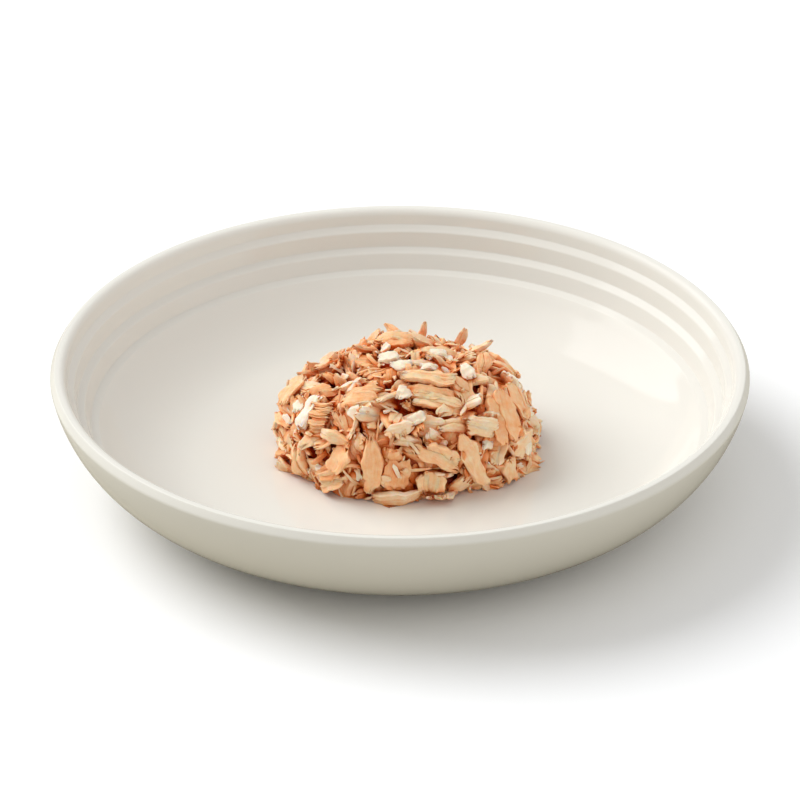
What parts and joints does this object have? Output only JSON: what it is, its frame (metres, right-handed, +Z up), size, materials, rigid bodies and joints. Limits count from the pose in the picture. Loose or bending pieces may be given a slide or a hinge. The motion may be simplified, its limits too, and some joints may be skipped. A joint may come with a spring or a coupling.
{
  "type": "shallow bowl of flaked tuna cat food",
  "caption": "Shallow off-white glazed stoneware bowl with turned rings down its inner wall, serving a small heap of flaked tuna cat food.",
  "frame": {"origin": "on the bowl's axis, at the underside of the foot ring, where the bowl stands on the table", "axes": "+Z up along the bowl's axis, -Y towards the diner, +X to the diner's right"},
  "size_m": [0.22, 0.22, 0.0432],
  "materials": {
    "off_white_glaze": "glossy clear glaze on off-white stoneware",
    "flaked_tuna": "moist cooked fish flakes, soft sheen"
  },
  "bodies": {
    "root": {"bowl": "off_white_glaze", "tuna_heap": "flaked_tuna"}
  },
  "joints": []
}
